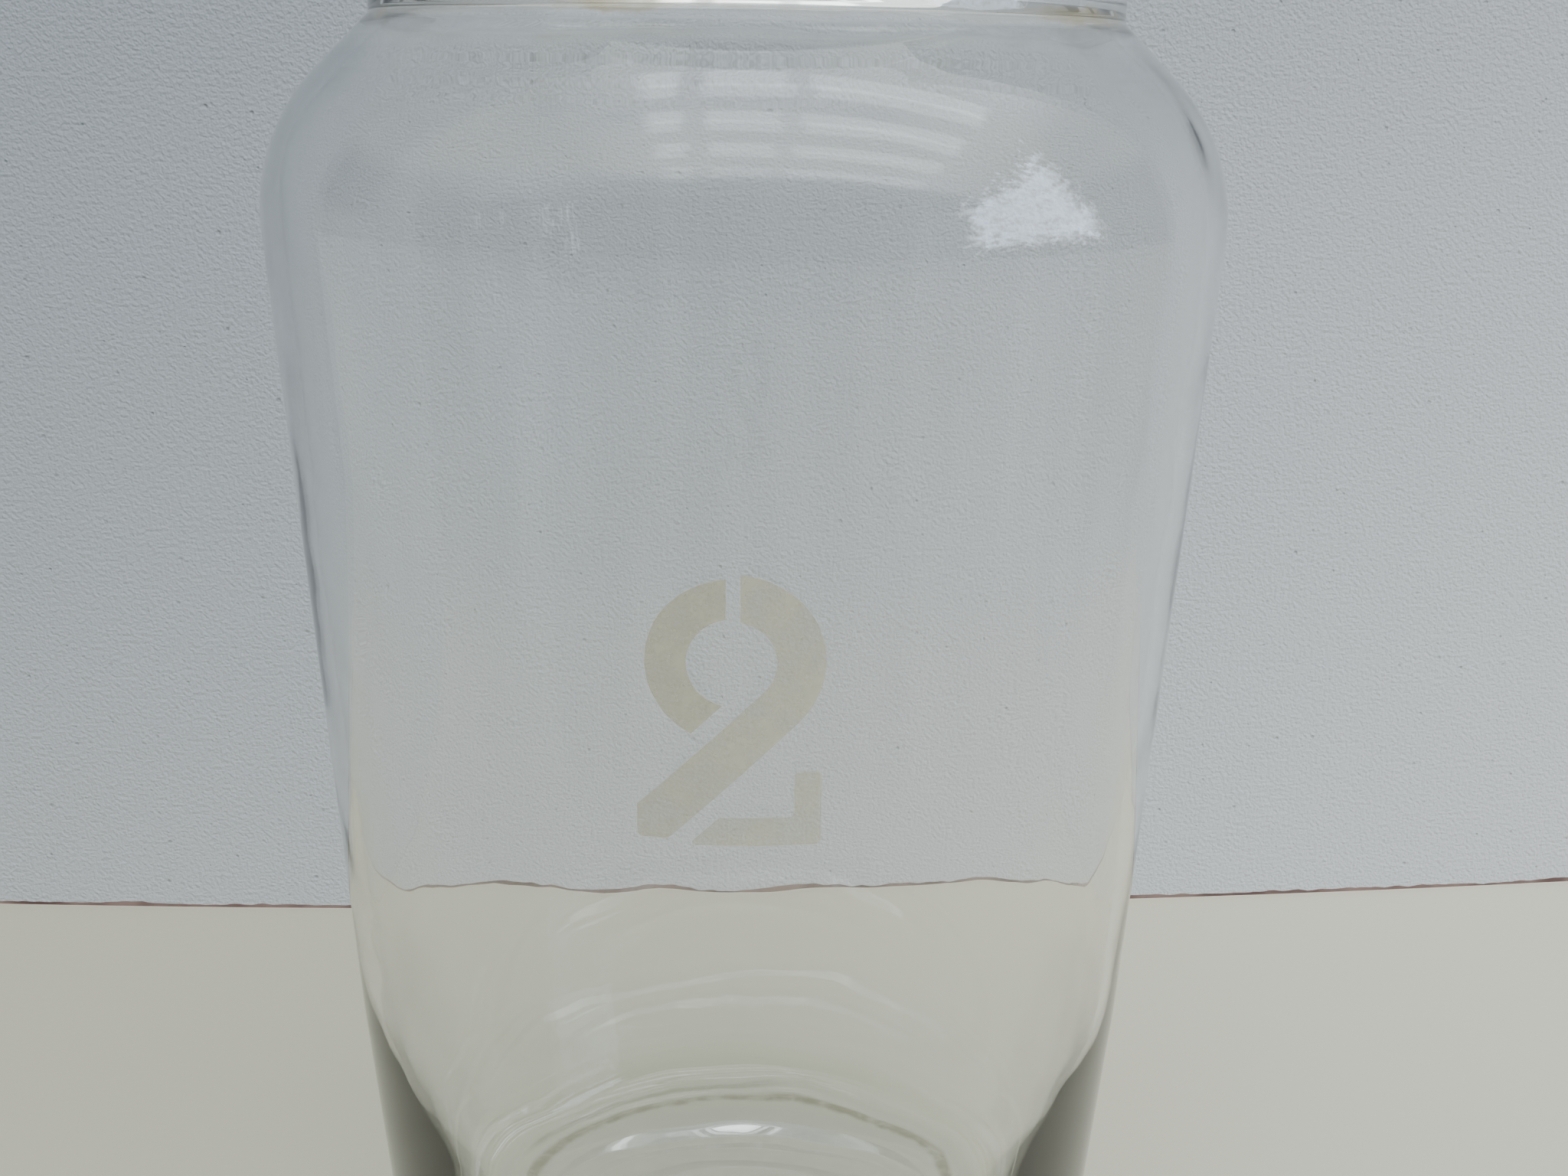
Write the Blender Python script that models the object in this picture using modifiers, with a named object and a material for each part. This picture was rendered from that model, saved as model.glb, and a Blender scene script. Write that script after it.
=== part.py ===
"""Wide-neck laboratory glass jar, with a hollow ground-glass stopper and a stencilled enamel 2.

The jar stands on its foot ring at z = 0, with its axis on +Z, and the numeral faces -Y. All
sizes are in metres. The jar and its stopper are turned shapes: each is a closed outline in the
X-Z plane, turned about Z. The numeral is three separate islands of enamel, as a stencil leaves
them. Each island is cut out of a thin skin that follows the wall.
"""

import math

import bpy
import bmesh

# Outside of the jar.
NECK_RADIUS = 0.0486
LIP_RADIUS = 0.0518
LIP_HEIGHT = 0.0070
LIP_ROUND = 0.0027
LIP_SLOPE = 0.0012  # how far the lip's underside falls towards the neck
UNDER_LIP_ROUND = 0.0018
RIM_Z = 0.2334  # the top of the lip
SHOULDER_TOP_Z = 0.2034  # where the shoulder meets the neck
NECK_FOOT_ROUND = 0.0012
SHOULDER_RADIUS = 0.0638  # where the lines of wall and shoulder cross, before rounding
SHOULDER_Z = 0.1887
SHOULDER_ROUND = 0.0261
WAIST_RADIUS = 0.0578  # below here the wall tapers a little more
WAIST_Z = 0.0655
WAIST_ROUND = 0.130
HEEL_RADIUS = 0.0529  # the wall's line at z = 0, before rounding
HEEL_ROUND = 0.0115
FOOT_INNER_RADIUS = 0.0380
FOOT_ROUND = 0.0008
PUNT_HEIGHT = 0.0040
PUNT_SHARE = 0.75  # the punt is a shallow dome: half way out it still has this share of its height
PUNT_ROUND = 0.100

# Inside of the jar.
WALL = 0.0022
LOWER_WALL = 0.0025
FLOOR_Z = 0.0108
FLOOR_CORNER_RADIUS = 0.0468  # where floor and wall would meet, before rounding
FLOOR_ROUND = 0.0050
PLATEAU_RADIUS = 0.0392  # the middle of the floor stands a little higher
PLATEAU_HEIGHT = 0.0007
PLATEAU_SLOPE = 0.0012
PLATEAU_ROUND = 0.0009
SOCKET_TOP_RADIUS = 0.0449  # the ground seat in the neck, which tapers downwards
SOCKET_TAPER = 0.050  # the fall of its radius for each metre of depth
SOCKET_FOOT_Z = 0.2051  # where it meets the inner shoulder, which lies along the outer one
SOCKET_FOOT_ROUND = 0.0020
MOUTH_ROUND = 0.0012

# Stopper, with heights above the rim.
FIT_GAP = 0.0003
FLANGE_GAP = 0.0004
FLANGE_RADIUS = 0.0512
FLANGE_THICKNESS = 0.0046
PLUG_DEPTH = 0.0220
PLUG_WALL = 0.0042
HOLLOW_TOP = 0.0028
DOME_RADIUS = 0.0350
DOME_TOP = 0.0092
STEM_RADIUS = 0.0090
KNOB_UNDERSIDE = 0.0215
KNOB_RADIUS = 0.0170
KNOB_TOP = 0.0386
FLANGE_ROUND = 0.0018
FLANGE_SLOPE = 0.0080  # across which the dome runs out into the flange
DOME_DROP = 0.0012  # how far the dome falls from its middle to its edge
DOME_ROUND = 0.0100
DOME_FOOT_ROUND = 0.0060
STEM_FOOT_ROUND = 0.0040
STEM_TOP_ROUND = 0.0025
KNOB_CUP = 0.0020  # how far the knob's underside falls towards the stem
KNOB_UNDER_ROUND = 0.0060
KNOB_TOP_ROUND = 0.0085
PLUG_TOP_ROUND = 0.0004
PLUG_FOOT_ROUND = 0.0014
HOLLOW_TAPER = 0.0006
HOLLOW_RISE = 0.0010  # how far the hollow's roof rises to its middle
HOLLOW_ROUND = 0.0050

# Numeral, drawn flat with u to the right and v up, from the middle of its bottom edge.
DIGIT_Z = 0.1140
DIGIT_GAP = 0.0003  # between the glass and the enamel
DIGIT_THICKNESS = 0.0003
DIGIT_LEFT = -0.0103
DIGIT_RIGHT = 0.0103
LOOP_U = 0.0004
LOOP_V = 0.0222
HOOK_OUTER = 0.0096
HOOK_INNER = 0.0051
BOWL_OUTER = 0.0101
BOWL_INNER = 0.0048
BRIDGE = 0.0016  # the gap at the top of the loop
DIAGONAL_GAP = 0.0021
STROKE_END_V = 0.0007
FOOT_BAR_V = 0.0035
SERIF_U = 0.0073
SERIF_V = 0.0091
DIGIT_ROUND = 0.0004
DIAGONAL_END = math.radians(315)  # the direction in which the diagonal leaves the loop
SKIN_MARGIN = 0.004

# How finely round shapes are divided.
TURN_STEPS = 64
SKIN_STEPS = 160
CHORD_ERROR = 0.00012  # how far an arc's straight pieces may cut inside it
WELD = 0.00001

GLASS_IOR = 1.52
GLASS_COLOUR = (0.93, 0.95, 0.93)
ENAMEL_COLOUR = (0.52, 0.48, 0.34)


def clear_scene():
    for obj in list(bpy.data.objects):
        bpy.data.objects.remove(obj, do_unlink=True)


def new_collection(name):
    collection = bpy.data.collections.new(name)
    bpy.context.scene.collection.children.link(collection)
    return collection


def make_material(name, colour, roughness, transmission):
    material = bpy.data.materials.new(name)
    material.use_nodes = True
    shader = material.node_tree.nodes["Principled BSDF"]
    shader.inputs["Base Color"].default_value = (*colour, 1.0)
    shader.inputs["Roughness"].default_value = roughness
    shader.inputs["Metallic"].default_value = 0.0
    shader.inputs["Transmission Weight"].default_value = transmission
    shader.inputs["IOR"].default_value = GLASS_IOR
    return material


def arc(centre, radius, start, end):
    """Points on an arc about a centre, both ends included, with angles in radians."""
    widest = 2 * math.acos(1 - CHORD_ERROR / radius)
    steps = max(1, math.ceil(abs(end - start) / widest))
    angles = [start + (end - start) * i / steps for i in range(steps + 1)]
    return [(centre[0] + radius * math.cos(a), centre[1] + radius * math.sin(a)) for a in angles]


def fillet(before, corner, after, radius):
    """The arc of a given radius that rounds the corner between two straight lines."""
    to_before = math.atan2(before[1] - corner[1], before[0] - corner[0])
    to_after = math.atan2(after[1] - corner[1], after[0] - corner[0])
    opening = (to_after - to_before + math.pi) % (2 * math.pi) - math.pi
    middle = to_before + opening / 2
    reach = radius / math.sin(abs(opening) / 2)
    centre = (corner[0] + reach * math.cos(middle), corner[1] + reach * math.sin(middle))
    turn = math.copysign(math.pi - abs(opening), -opening)
    start = to_before + math.copysign(math.pi / 2, -opening)
    return arc(centre, radius, start, start + turn)


def rounded(corners):
    """The points of an outline through (x, z, radius) corners, each rounded to its own radius."""
    points = []
    for i, (x, z, radius) in enumerate(corners):
        if radius:
            after = corners[(i + 1) % len(corners)]
            points += fillet(corners[i - 1][:2], (x, z), after[:2], radius)
        else:
            points.append((x, z))
    return points


def wall_radius(z):
    """The outside radius of the straight wall between waist and shoulder."""
    slope = (SHOULDER_RADIUS - WAIST_RADIUS) / (SHOULDER_Z - WAIST_Z)
    return WAIST_RADIUS + slope * (z - WAIST_Z)


def socket_radius(z):
    return SOCKET_TOP_RADIUS - SOCKET_TAPER * (RIM_Z - z)


def jar_outline():
    """From the middle of the floor up the inside, over the lip and down to the punt."""
    slant = math.atan2(SHOULDER_TOP_Z - SHOULDER_Z, SHOULDER_RADIUS - NECK_RADIUS)
    inner_shoulder = SHOULDER_RADIUS - WALL
    drop = WALL / math.cos(slant)
    inner_shoulder_z = SHOULDER_Z - drop + (SHOULDER_RADIUS - inner_shoulder) * math.tan(slant)
    return rounded([
        (0, FLOOR_Z + PLATEAU_HEIGHT, 0),
        (PLATEAU_RADIUS, FLOOR_Z + PLATEAU_HEIGHT, PLATEAU_ROUND),
        (PLATEAU_RADIUS + PLATEAU_SLOPE, FLOOR_Z, PLATEAU_ROUND),
        (FLOOR_CORNER_RADIUS, FLOOR_Z, FLOOR_ROUND),
        (WAIST_RADIUS - LOWER_WALL, WAIST_Z, WAIST_ROUND),
        (inner_shoulder, inner_shoulder_z, SHOULDER_ROUND - WALL),
        (socket_radius(SOCKET_FOOT_Z), SOCKET_FOOT_Z, SOCKET_FOOT_ROUND),
        (SOCKET_TOP_RADIUS, RIM_Z, MOUTH_ROUND),
        (LIP_RADIUS, RIM_Z, LIP_ROUND),
        (LIP_RADIUS, RIM_Z - LIP_HEIGHT, LIP_ROUND),
        (NECK_RADIUS, RIM_Z - LIP_HEIGHT - LIP_SLOPE, UNDER_LIP_ROUND),
        (NECK_RADIUS, SHOULDER_TOP_Z, NECK_FOOT_ROUND),
        (SHOULDER_RADIUS, SHOULDER_Z, SHOULDER_ROUND),
        (WAIST_RADIUS, WAIST_Z, WAIST_ROUND),
        (HEEL_RADIUS, 0, HEEL_ROUND),
        (FOOT_INNER_RADIUS, 0, FOOT_ROUND),
        (FOOT_INNER_RADIUS / 2, PUNT_HEIGHT * PUNT_SHARE, PUNT_ROUND),
        (0, PUNT_HEIGHT, 0),
    ])


def stopper_outline():
    """From the top of the knob down the outside, and up inside the hollow plug."""
    plug_top = SOCKET_TOP_RADIUS - FIT_GAP
    plug_foot = plug_top - SOCKET_TAPER * PLUG_DEPTH
    flange_top = FLANGE_GAP + FLANGE_THICKNESS
    return rounded([
        (0, KNOB_TOP, 0),
        (KNOB_RADIUS, KNOB_TOP, KNOB_TOP_ROUND),
        (KNOB_RADIUS, KNOB_UNDERSIDE, KNOB_UNDER_ROUND),
        (STEM_RADIUS, KNOB_UNDERSIDE - KNOB_CUP, STEM_TOP_ROUND),
        (STEM_RADIUS, DOME_TOP, STEM_FOOT_ROUND),
        (DOME_RADIUS, DOME_TOP - DOME_DROP, DOME_ROUND),
        (DOME_RADIUS + FLANGE_SLOPE, flange_top, DOME_FOOT_ROUND),
        (FLANGE_RADIUS, flange_top, FLANGE_ROUND),
        (FLANGE_RADIUS, FLANGE_GAP, FLANGE_ROUND),
        (plug_top, FLANGE_GAP, PLUG_TOP_ROUND),
        (plug_foot, -PLUG_DEPTH, PLUG_FOOT_ROUND),
        (plug_foot - PLUG_WALL, -PLUG_DEPTH, PLUG_FOOT_ROUND),
        (plug_top - PLUG_WALL - HOLLOW_TAPER, HOLLOW_TOP - HOLLOW_RISE, HOLLOW_ROUND),
        (0, HOLLOW_TOP, 0),
    ])


def turned(name, outline, z, steps, collection, closed=False):
    """A solid of revolution: an outline in the X-Z plane, turned about its own Z axis."""
    mesh = bpy.data.meshes.new(name)
    corners = [(x, 0, height) for x, height in outline]
    edges = [(i, i + 1) for i in range(len(corners) - 1)]
    if closed:
        edges.append((len(corners) - 1, 0))
    mesh.from_pydata(corners, edges, [])
    obj = bpy.data.objects.new(name, mesh)
    obj.location = (0, 0, z)
    collection.objects.link(obj)
    screw = obj.modifiers.new("turn", "SCREW")
    screw.axis = "Z"
    screw.steps = steps
    screw.render_steps = steps
    screw.use_merge_vertices = True
    screw.merge_threshold = WELD
    screw.use_smooth_shade = True
    return obj


def loop_arc(radius, start, end):
    """Outline corners along the numeral's loop, with angles in radians."""
    return [(u, v, 0) for u, v in arc((LOOP_U, LOOP_V), radius, start, end)]


def diagonal_u(radius, v):
    """Where the diagonal line that touches a circle about the loop's centre is, at height v."""
    return LOOP_U + v - LOOP_V + radius * math.sqrt(2)


def hook_outline():
    """The left of the loop, cut upright at the top and along the diagonal at its foot."""
    cut = BOWL_INNER - DIAGONAL_GAP
    top = [math.acos(-BRIDGE / 2 / r) for r in (HOOK_OUTER, HOOK_INNER)]
    foot = [DIAGONAL_END - math.acos(cut / r) for r in (HOOK_OUTER, HOOK_INNER)]
    return loop_arc(HOOK_OUTER, top[0], foot[0]) + loop_arc(HOOK_INNER, foot[1], top[1])


def stroke_outline():
    """The right of the loop, which runs on as the diagonal down to the left."""
    top = [math.acos(BRIDGE / 2 / r) for r in (BOWL_OUTER, BOWL_INNER)]
    turn = DIAGONAL_END - 2 * math.pi
    inner_line_v = DIGIT_LEFT - diagonal_u(BOWL_INNER, 0)
    tip = [
        (diagonal_u(BOWL_OUTER, STROKE_END_V), STROKE_END_V, DIGIT_ROUND),
        (DIGIT_LEFT, STROKE_END_V, DIGIT_ROUND),
        (DIGIT_LEFT, inner_line_v, DIGIT_ROUND),
    ]
    return loop_arc(BOWL_OUTER, top[0], turn) + tip + loop_arc(BOWL_INNER, turn, top[1])


def foot_outline():
    """The bar along the bottom, with its upright serif at the right end."""
    edge = BOWL_OUTER + DIAGONAL_GAP
    return [
        (diagonal_u(edge, 0), 0, DIGIT_ROUND / 2),
        (DIGIT_RIGHT, 0, DIGIT_ROUND),
        (DIGIT_RIGHT, SERIF_V, DIGIT_ROUND),
        (SERIF_U, SERIF_V, DIGIT_ROUND),
        (SERIF_U, FOOT_BAR_V, DIGIT_ROUND),
        (diagonal_u(edge, FOOT_BAR_V), FOOT_BAR_V, DIGIT_ROUND),
    ]


def digit_skin(collection):
    """A closed sleeve just outside the jar's wall, as thick as the enamel."""
    low, high = DIGIT_Z - SKIN_MARGIN, DIGIT_Z + LOOP_V + BOWL_OUTER + SKIN_MARGIN
    near, far = DIGIT_GAP, DIGIT_GAP + DIGIT_THICKNESS
    outline = [
        (wall_radius(high) + near, high),
        (wall_radius(high) + far, high),
        (wall_radius(low) + far, low),
        (wall_radius(low) + near, low),
    ]
    skin = turned("digit_skin", outline, 0, SKIN_STEPS, collection, closed=True)
    skin.hide_render = True
    skin.display_type = "WIRE"
    return skin


def flat_plate(outline, half_depth):
    """A mesh of a flat outline with a thickness, made through a filled 2D curve."""
    curve = bpy.data.curves.new("plate", "CURVE")
    curve.dimensions = "2D"
    curve.fill_mode = "BOTH"
    curve.extrude = half_depth
    spline = curve.splines.new("POLY")
    spline.points.add(len(outline) - 1)
    for point, (u, v) in zip(spline.points, outline):
        point.co = (u, v, 0, 1)
    spline.use_cyclic_u = True
    guide = bpy.data.objects.new("plate", curve)
    bpy.context.scene.collection.objects.link(guide)
    depsgraph = bpy.context.evaluated_depsgraph_get()
    mesh = bpy.data.meshes.new_from_object(guide.evaluated_get(depsgraph))
    bpy.data.objects.remove(guide, do_unlink=True)
    welded = bmesh.new()
    welded.from_mesh(mesh)
    bmesh.ops.remove_doubles(welded, verts=welded.verts, dist=WELD)
    bmesh.ops.recalc_face_normals(welded, faces=welded.faces)
    welded.to_mesh(mesh)
    welded.free()
    return mesh


def stencil_island(name, outline, skin, collection):
    """One island of the numeral: its flat outline, cut out of the sleeve round the jar."""
    mesh = flat_plate(rounded(outline), SHOULDER_RADIUS / 4)
    mesh.name = name
    obj = bpy.data.objects.new(name, mesh)
    obj.location = (0, -SHOULDER_RADIUS, DIGIT_Z)
    obj.rotation_euler = (math.radians(90), 0, 0)
    collection.objects.link(obj)
    cut = obj.modifiers.new("follow_wall", "BOOLEAN")
    cut.operation = "INTERSECT"
    cut.solver = "EXACT"
    cut.object = skin
    return obj


def add_material(obj, material):
    obj.data.materials.clear()
    obj.data.materials.append(material)


def main():
    clear_scene()
    parts = new_collection("stoppered_glass_jar")
    cutters = new_collection("cutters")

    jar = turned("jar", jar_outline(), 0, TURN_STEPS, parts)
    add_material(jar, make_material("jar_glass", GLASS_COLOUR, 0.03, 1.0))

    stopper = turned("stopper", stopper_outline(), RIM_Z, TURN_STEPS, parts)
    add_material(stopper, make_material("stopper_glass", GLASS_COLOUR, 0.06, 1.0))

    skin = digit_skin(cutters)
    islands = {
        "numeral_hook": hook_outline(),
        "numeral_stroke": stroke_outline(),
        "numeral_foot": foot_outline(),
    }
    for name, outline in islands.items():
        island = stencil_island(name, outline, skin, parts)
        add_material(island, make_material(name + "_enamel", ENAMEL_COLOUR, 0.6, 0.0))


main()
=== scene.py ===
"""The look of the wide-neck stoppered glass jar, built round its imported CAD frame.

The jar and the stopper are turned again here with a fine surface, from the same driving
dimensions as the CAD, and with the small unevenness of hand-worked glass. The numeral is three
thin islands of enamel that follow the wall. All sizes are in metres.
"""

import math

import bmesh
import bpy
import numpy as np
from mathutils import Matrix, Vector, geometry, noise


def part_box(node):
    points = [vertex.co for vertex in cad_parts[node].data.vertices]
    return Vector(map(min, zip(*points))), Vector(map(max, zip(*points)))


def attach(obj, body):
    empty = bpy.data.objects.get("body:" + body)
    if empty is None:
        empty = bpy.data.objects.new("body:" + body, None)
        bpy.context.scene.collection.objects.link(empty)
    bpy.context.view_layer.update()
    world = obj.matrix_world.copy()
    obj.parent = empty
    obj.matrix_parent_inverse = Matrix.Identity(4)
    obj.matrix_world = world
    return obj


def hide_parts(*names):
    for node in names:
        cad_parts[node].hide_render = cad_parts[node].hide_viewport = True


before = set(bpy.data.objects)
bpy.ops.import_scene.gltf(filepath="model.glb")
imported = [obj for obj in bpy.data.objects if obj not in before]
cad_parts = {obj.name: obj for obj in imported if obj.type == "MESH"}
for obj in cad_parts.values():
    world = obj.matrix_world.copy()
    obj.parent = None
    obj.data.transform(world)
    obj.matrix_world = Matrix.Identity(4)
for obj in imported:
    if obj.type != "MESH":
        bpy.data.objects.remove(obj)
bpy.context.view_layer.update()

# Driving dimensions, as in the CAD. Outside of the jar first.
NECK_RADIUS = 0.0486
LIP_RADIUS = 0.0518
LIP_HEIGHT = 0.0070
LIP_ROUND = 0.0027
LIP_SLOPE = 0.0012
UNDER_LIP_ROUND = 0.0018
RIM_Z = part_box("jar")[1][2]
SHOULDER_TOP_Z = 0.2034
NECK_FOOT_ROUND = 0.0012
SHOULDER_RADIUS = 0.0638
SHOULDER_Z = 0.1887
SHOULDER_ROUND = 0.0261
WAIST_RADIUS = 0.0578
WAIST_Z = 0.0655
WAIST_ROUND = 0.130
HEEL_RADIUS = 0.0529
HEEL_ROUND = 0.0115
FOOT_INNER_RADIUS = 0.0380
PUNT_HEIGHT = 0.0040
PUNT_SHARE = 0.75
PUNT_ROUND = 0.100
FOOT_ROUND = 0.0008

# Inside of the jar.
WALL = 0.0022
LOWER_WALL = 0.0025
FLOOR_Z = 0.0108
FLOOR_CORNER_RADIUS = 0.0468
FLOOR_ROUND = 0.0050
SOCKET_TOP_RADIUS = 0.0449
SOCKET_TAPER = 0.050
SOCKET_FOOT_Z = 0.2051
SOCKET_FOOT_ROUND = 0.0020
MOUTH_ROUND = 0.0012
PLATEAU_RADIUS = 0.0392  # the middle of the floor stands a little higher
PLATEAU_HEIGHT = 0.0007
PLATEAU_SLOPE = 0.0012
PLATEAU_ROUND = 0.0009

# Stopper, with heights above the rim.
FIT_GAP = 0.0003
FLANGE_GAP = 0.0004
FLANGE_RADIUS = 0.0512
FLANGE_THICKNESS = 0.0046
PLUG_DEPTH = 0.0220
PLUG_WALL = 0.0042
HOLLOW_TOP = 0.0028
DOME_RADIUS = 0.0350
DOME_TOP = 0.0092
STEM_RADIUS = 0.0090
KNOB_UNDERSIDE = 0.0215
KNOB_RADIUS = 0.0170
KNOB_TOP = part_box("stopper")[1][2] - RIM_Z
FLANGE_ROUND = 0.0018
FLANGE_SLOPE = 0.0080
DOME_DROP = 0.0012
DOME_ROUND = 0.0100
DOME_FOOT_ROUND = 0.0060
STEM_FOOT_ROUND = 0.0040
STEM_TOP_ROUND = 0.0025
KNOB_CUP = 0.0020
KNOB_UNDER_ROUND = 0.0060
KNOB_TOP_ROUND = 0.0085
PLUG_TOP_ROUND = 0.0004
PLUG_FOOT_ROUND = 0.0014
HOLLOW_TAPER = 0.0006
HOLLOW_RISE = 0.0010
HOLLOW_ROUND = 0.0050

# Numeral, drawn flat with u to the right and v up.
DIGIT_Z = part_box("numeral_foot")[0][2]
DIGIT_LEFT = -0.0103
DIGIT_RIGHT = 0.0103
LOOP_U = 0.0004
LOOP_V = 0.0222
HOOK_OUTER = 0.0096
HOOK_INNER = 0.0051
BOWL_OUTER = 0.0101
BOWL_INNER = 0.0048
BRIDGE = 0.0016
DIAGONAL_GAP = 0.0021
STROKE_END_V = 0.0007
FOOT_BAR_V = 0.0035
SERIF_U = 0.0073
SERIF_V = 0.0091
DIGIT_ROUND = 0.0006
DIAGONAL_END = math.radians(315)
ENAMEL_LIFT = 0.00002
ENAMEL_THICKNESS = 0.00008
ENAMEL_GRID = 0.0007

# Fineness of the meshes.
TURN_STEPS = 224
CHORD_ERROR = 0.000012
LONGEST_STEP = 0.0020
SAME_POINT = 0.00004  # points closer than this are one point

# Unevenness of the glass: its strength, and the heights and radii over which it sets in or fades.
MEAN_RADIUS = 0.056
INNER_UNEVEN = 0.00010
OUTER_UNEVEN = 0.000015
RING_WANDER = 0.0006
FLOOR_SWELL = 0.12  # share of RING_WANDER by which the floor rises and sinks
ABOVE_HEEL = (0.004, 0.016)
BELOW_NECK = (0.196, SHOULDER_TOP_Z)
ABOVE_FLOOR = (0.014, 0.024)
OFF_AXIS = (0.004, 0.020)
SWELL_START = (0.0, 0.030)
RING_REACH = 0.006

# Camera.
EYE = Vector((0.00577, -0.22105, 0.19563))
EYE_PITCH = math.radians(17.64)
EYE_ROLL = math.radians(0.893)
SENSOR = 36.0
FOCAL_SHARE = 2069 / 2048  # focal length over the image's width
NEAREST = 0.01

# Glass: its tints, a band of darker streaks, the heel's tint with painted shade, lines of painted shade on
# the floor, and the dirt dried at the neck.
GLASS_IOR = 1.52
GLASS_COLOUR = (0.997, 1.0, 0.988, 1)
# A faint darker band of vertical streaks up the jar's wall.
STREAK_BAND_COLOUR = (0.968, 0.972, 0.962, 1)
STREAK_SCALE = (230.0, 230.0, 12.0)  # across, across and along the streaks
STREAK_BAND_HEIGHTS = (0.130, 0.170, 0.022)  # foot, top and softness
# The heel's tint: partly the thick glass's own colour, partly painted shade for its dark wedges.
HEEL_TINT_AND_SHADE_COLOUR = (0.90, 0.905, 0.83, 1)
HEEL_HEIGHTS = (0.005, 0.022)  # where the tint fades upwards
HEEL_START = (0.040, 0.046)  # radii over which it sets in
LAMP_SHADE = (0.88, 0.89, 0.88, 1)
DIRT_COLOUR = (0.46, 0.38, 0.22, 1)
DIRT_Z = SHOULDER_TOP_Z - 0.0016
DIRT_WANDER = 0.0024
DIRT_WIDTH, DIRT_SOFT = 0.0010, 0.0009
DIRT_TO_BACK = (-0.010, 0.020)  # where the dirt gets weaker towards the back
# Painted shade: a dark line round the edge of the floor's raised middle, and part of a second one.
FLOOR_SHADE_LINE_COLOUR = (0.26, 0.235, 0.14, 1)
FLOOR_LINE = (-0.0001, 0.0013, 0.0014)  # edges from the plateau's edge outwards, and softness
SECOND_LINE = (0.0042, 0.0046, 0.0007)
SECOND_LINE_START = (0.036, 0.044)  # distances to the back over which it sets in
SECOND_LINE_SLANT = -0.6  # and how that direction turns to the left

# Enamel: two tones, and how much each island covers.
ENAMEL_COLOUR = (0.40, 0.37, 0.235, 1)
ENAMEL_COLOUR_2 = (0.50, 0.465, 0.32, 1)
HOOK_COVER, STROKE_COVER, FOOT_COVER = 0.46, 0.37, 0.32
COVER_SPREAD = 0.10

# Backdrop: its distance behind the axis, as a polynomial in x.
WALL_BEND = (0.1317, 0.0570, 0.179)
WALL_LEFT, WALL_RIGHT, WALL_HEIGHT = -0.55, 0.70, 1.5
WALL_PARTS = 60
WALL_COLOUR = (0.555, 0.565, 0.580, 1)
WALL_COLOUR_2 = (0.280, 0.303, 0.330, 1)
WALL_BRIGHT, WALL_DIM = -0.10, 0.34  # heights between which the wall's light falls off
WALL_FALL_ACROSS = -0.5
# Painted shade in the wall's pits.
WALL_PIT_SHADE_COLOUR = (0.10, 0.11, 0.13, 1)
WALL_PITS = 110.0
WALL_GRAIN = 1100.0

# The dark line between floor and backdrop: a strip of painted shade for the shadow in their gap.
LINE_LEFT, LINE_RIGHT = -0.30, 0.34
LINE_PARTS = 499
LINE_HEIGHT = 0.0009
LINE_FORWARD = 0.0002
GAP_SHADE_COLOUR = (0.10, 0.055, 0.05, 1)
GAP_SHADE_COLOUR_2 = (0.24, 0.16, 0.14, 1)

# Floor.
FLOOR_REACH = 4.0
FLOOR_LEVEL = -0.0002  # a hair below the foot, so that the two surfaces don't coincide
# Painted light: the floor's colours are shaded at the left, lit at the right and shaded far away.
FLOOR_SHADED_COLOUR = (0.385, 0.368, 0.280, 1)
FLOOR_LIT_COLOUR = (0.54, 0.512, 0.402, 1)
FLOOR_FAR_COLOUR = (0.34, 0.34, 0.32, 1)
FLOOR_ACROSS = (-0.26, 0.26)  # painted light: from the shaded colour to the lit one, along x
FLOOR_FALL = (0.30, 0.60)  # distances from the axis over which the floor's light falls off

# Room. The skylight's and the ceiling's outlines are pairs of a place and the brightness there.
# Places are in units of the ceiling's height, in front of the jar for rows and depth, and to its
# right for columns and width. Azimuths run from the jar's front to its right, and the other
# heights are those of points on the unit sphere.
WORLD_STRENGTH = 0.76
PLAIN_COLOUR = (0.50, 0.50, 0.49, 1)
ROOM_TINT = (0.88, 0.95, 1.0, 1)
ROOM_LEVEL = 0.50
SKYLIGHT_STRENGTH = 4.7
SKYLIGHT_SPREAD = 0.45  # by how much the columns spread towards the front
SKYLIGHT_ROWS = (
    (-0.20, 0), (-0.02, 0), (0.00, 1), (0.11, 1), (0.14, 0), (0.37, 0), (0.40, 1), (0.50, 1),
    (0.53, 0), (0.75, 0), (0.78, 0.9), (0.86, 0.9), (0.89, 0), (1.14, 0), (1.18, 0.6),
    (1.24, 0.6), (1.28, 0), (1.5, 0),
)
SKYLIGHT_COLUMNS = (
    (-0.40, 0), (-0.30, 0), (-0.25, 1), (-0.180, 1), (-0.155, 0.1), (-0.115, 0.1), (-0.090, 1),
    (0.085, 1), (0.105, 0.3), (0.145, 0.3), (0.165, 1), (0.74, 1), (0.80, 0), (1.0, 0),
)
CEILING_DEPTH = ((-1.6, 0), (-0.9, 1.0), (-0.2, 1.0), (0.0, 1.0), (1.20, 0.9), (1.42, 0), (1.5, 0))
CEILING_WIDTH = ((-1.6, 0.5), (-0.60, 0.9), (-0.25, 2.7), (0.80, 2.7), (1.3, 0.9), (1.8, 0.5))
CEILING_START = (0.30, 0.45)
WINDOW_TINT = (0.62, 0.77, 1.0, 1)
WINDOW_STRENGTH = 11.0
WINDOW_LEFT, WINDOW_RIGHT = math.radians(51), math.radians(89)
WINDOW_FOOT, WINDOW_TOP = 0.02, 0.3487
WINDOW_TOP_SLOPE = 0.50  # the top's rise from left to right
WINDOW_LEAN = -0.22  # the right side's shift with height
DARK_SIDE = (math.radians(-115), math.radians(-93), math.radians(5))  # edges and softness
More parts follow.
